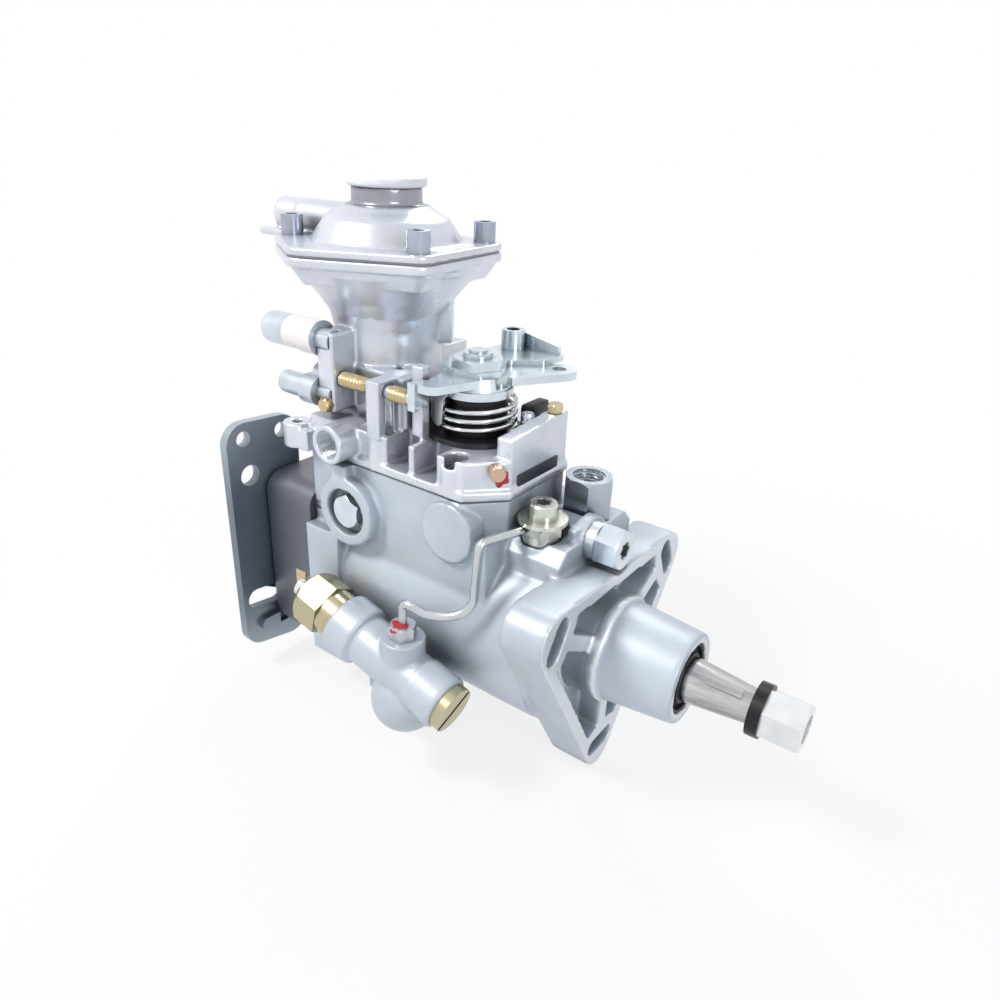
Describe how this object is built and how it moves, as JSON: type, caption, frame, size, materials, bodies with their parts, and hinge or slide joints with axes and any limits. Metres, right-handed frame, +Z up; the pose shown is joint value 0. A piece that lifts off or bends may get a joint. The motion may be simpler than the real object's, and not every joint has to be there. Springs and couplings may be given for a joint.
{
  "type": "diesel injection pump",
  "caption": "Distributor-type diesel injection pump with slotted flange, tapered drive shaft, governor cover, boost chamber, control lever, side advance unit and delivery outlets.",
  "frame": {"origin": "centre of the pilot at the flange's mounting face", "axes": "+X along the drive shaft out of the nose, +Z up through the governor cover, -Y towards the side with the advance unit and the pressure pipe"},
  "size_m": [0.303, 0.1392, 0.257],
  "materials": {
    "housing": "matte cast, lightly blasted",
    "side_unit": "matte cast",
    "cover": "bright raw casting",
    "head": "fine machined",
    "bracket": "zinc plated sheet",
    "shaft": "ground",
    "nut_zinc": "white zinc",
    "black_steel": "blackened",
    "seal_rubber": "smooth",
    "bronze": "fine turned",
    "steel": "ground",
    "spring_steel": "bright wire",
    "gasket": "pressed fibre",
    "zinc": "blue zinc",
    "yellow_zinc": "yellow zinc",
    "black_plastic": "moulded",
    "white_plastic": "moulded",
    "lever_zinc": "zinc plated",
    "pipe_steel": "drawn tube",
    "solenoid_steel": "zinc plated can"
  },
  "bodies": {
    "body": {"pump_housing": "housing", "shaft_seal": "seal_rubber", "front_bush": "bronze", "vane_pump_liner": "steel", "vane_pump_plate": "steel", "distributor_head": "head", "head_fittings": "zinc", "shutoff_solenoid": "solenoid_steel", "timing_cover": "cover", "governor_shaft": "steel", "corrector_lever": "steel", "hex_bolts": "zinc", "governor_cover": "cover", "cover_gasket": "gasket", "socket_screws": "zinc", "spring_base": "black_plastic", "lever_return_spring": "spring_steel", "adjusting_screws": "zinc", "boost_cover": "cover", "boost_diaphragm": "seal_rubber", "boost_cap": "white_plastic", "advance_unit_body": "side_unit", "advance_unit_plugs": "yellow_zinc", "pressure_pipe": "pipe_steel", "pressure_valve": "zinc", "inlet_connector": "zinc", "rear_bracket": "bracket"},
    "drive": {"drive_shaft": "shaft", "shaft_key": "shaft", "shaft_lock_washer": "black_steel", "shaft_nut": "nut_zinc", "vane_pump_rotor": "steel", "governor_drive_gear": "steel", "coupling_disc": "steel"},
    "plunger_yoke": {"spring_bridge": "steel", "plunger_springs": "spring_steel"},
    "cam": {"cam_plate": "steel", "distributor_plunger": "steel"},
    "timing": {"timing_piston": "steel", "timing_spring": "spring_steel"},
    "ring": {"roller_ring": "steel", "cam_rollers": "steel"},
    "governor": {"flyweight_carrier": "steel"},
    "weight_1": {"flyweight_1": "steel"},
    "weight_2": {"flyweight_2": "steel"},
    "weight_3": {"flyweight_3": "steel"},
    "weight_4": {"flyweight_4": "steel"},
    "sleeve": {"governor_sleeve": "steel"},
    "lever": {"governor_lever": "steel", "governor_spring": "spring_steel"},
    "collar": {"control_collar": "steel"},
    "control": {"control_shaft": "lever_zinc", "control_lever": "lever_zinc", "lever_fasteners": "lever_zinc"},
    "shutoff": {"shutoff_plunger": "steel"},
    "valve_1": {"delivery_valve_1": "steel"},
    "valve_2": {"delivery_valve_2": "steel"},
    "valve_3": {"delivery_valve_3": "steel"},
    "valve_4": {"delivery_valve_4": "steel"},
    "boost": {"boost_pin": "steel"}
  },
  "joints": [
    {"name": "drive_spin", "type": "hinge", "parent": "body", "child": "drive", "pos_m": [0, 0, 0], "axis": [1, 0, 0], "continuous": true},
    {"name": "plunger_stroke", "type": "slide", "parent": "body", "child": "plunger_yoke", "axis": [1, 0, 0], "range_m": [0, 0.0022]},
    {"name": "cam_spin", "type": "hinge", "parent": "plunger_yoke", "child": "cam", "pos_m": [0, 0, 0], "axis": [1, 0, 0], "continuous": true},
    {"name": "timing_slide", "type": "slide", "parent": "body", "child": "timing", "axis": [0, 1, 0], "range_m": [0, 0.006], "stiffness_N_per_m": 5000, "springref_m": -0.004},
    {"name": "ring_turn", "type": "hinge", "parent": "body", "child": "ring", "pos_m": [0, 0, 0], "axis": [1, 0, 0], "range_deg": [0, 8.7]},
    {"name": "governor_spin", "type": "hinge", "parent": "body", "child": "governor", "pos_m": [0, 0.003, 0.047], "axis": [1, 0, 0], "continuous": true},
    {"name": "weight_1_swing", "type": "hinge", "parent": "governor", "child": "weight_1", "pos_m": [-0.062, 0.003, 0.061], "axis": [0, 1, 0], "range_deg": [0, 24.8]},
    {"name": "weight_2_swing", "type": "hinge", "parent": "governor", "child": "weight_2", "pos_m": [-0.062, -0.011, 0.047], "axis": [0, 0, 1], "range_deg": [0, 24.8]},
    {"name": "weight_3_swing", "type": "hinge", "parent": "governor", "child": "weight_3", "pos_m": [-0.062, 0.003, 0.033], "axis": [0, -1, 0], "range_deg": [0, 24.8]},
    {"name": "weight_4_swing", "type": "hinge", "parent": "governor", "child": "weight_4", "pos_m": [-0.062, 0.017, 0.047], "axis": [0, 0, -1], "range_deg": [0, 24.8]},
    {"name": "sleeve_slide", "type": "slide", "parent": "body", "child": "sleeve", "axis": [-1, 0, 0], "range_m": [0, 0.003], "stiffness_N_per_m": 3000, "springref_m": -0.002},
    {"name": "lever_swing", "type": "hinge", "parent": "body", "child": "lever", "pos_m": [-0.122, 0, 0.024], "axis": [0, -1, 0], "range_deg": [0, 7.6]},
    {"name": "collar_slide", "type": "slide", "parent": "body", "child": "collar", "axis": [1, 0, 0], "range_m": [0, 0.002]},
    {"name": "control_lever_turn", "type": "hinge", "parent": "body", "child": "control", "pos_m": [-0.077, -0.0045, 0], "axis": [0, 0, 1], "range_deg": [0, 30], "stiffness_Nm_per_rad": 0.6, "springref_deg": -28.65},
    {"name": "shutoff_lift", "type": "slide", "parent": "body", "child": "shutoff", "axis": [0, 0, 1], "range_m": [0, 0.002], "stiffness_N_per_m": 1500, "springref_m": -0.002},
    {"name": "valve_1_lift", "type": "slide", "parent": "body", "child": "valve_1", "axis": [-1, 0, 0], "range_m": [0, 0.002], "stiffness_N_per_m": 4000, "springref_m": -0.002},
    {"name": "valve_2_lift", "type": "slide", "parent": "body", "child": "valve_2", "axis": [-1, 0, 0], "range_m": [0, 0.002], "stiffness_N_per_m": 4000, "springref_m": -0.002},
    {"name": "valve_3_lift", "type": "slide", "parent": "body", "child": "valve_3", "axis": [-1, 0, 0], "range_m": [0, 0.002], "stiffness_N_per_m": 4000, "springref_m": -0.002},
    {"name": "valve_4_lift", "type": "slide", "parent": "body", "child": "valve_4", "axis": [-1, 0, 0], "range_m": [0, 0.002], "stiffness_N_per_m": 4000, "springref_m": -0.002},
    {"name": "boost_travel", "type": "slide", "parent": "body", "child": "boost", "axis": [0, 0, -1], "range_m": [0, 0.004], "stiffness_N_per_m": 4000, "springref_m": -0.003}
  ],
  "couplings": [
    {"joint": "cam_spin", "follows": "drive_spin", "ratio": 1},
    {"joint": "governor_spin", "follows": "drive_spin", "ratio": -1.6087},
    {"joint": "ring_turn", "follows": "timing_slide", "rad_per_m": 25},
    {"joint": "lever_swing", "follows": "sleeve_slide", "rad_per_m": 43.57},
    {"joint": "collar_slide", "follows": "sleeve_slide", "ratio": 0.657},
    {"joint": "weight_1_swing", "follows": "sleeve_slide", "rad_per_m": 142.86},
    {"joint": "weight_2_swing", "follows": "sleeve_slide", "rad_per_m": 142.86},
    {"joint": "weight_3_swing", "follows": "sleeve_slide", "rad_per_m": 142.86},
    {"joint": "weight_4_swing", "follows": "sleeve_slide", "rad_per_m": 142.86}
  ]
}
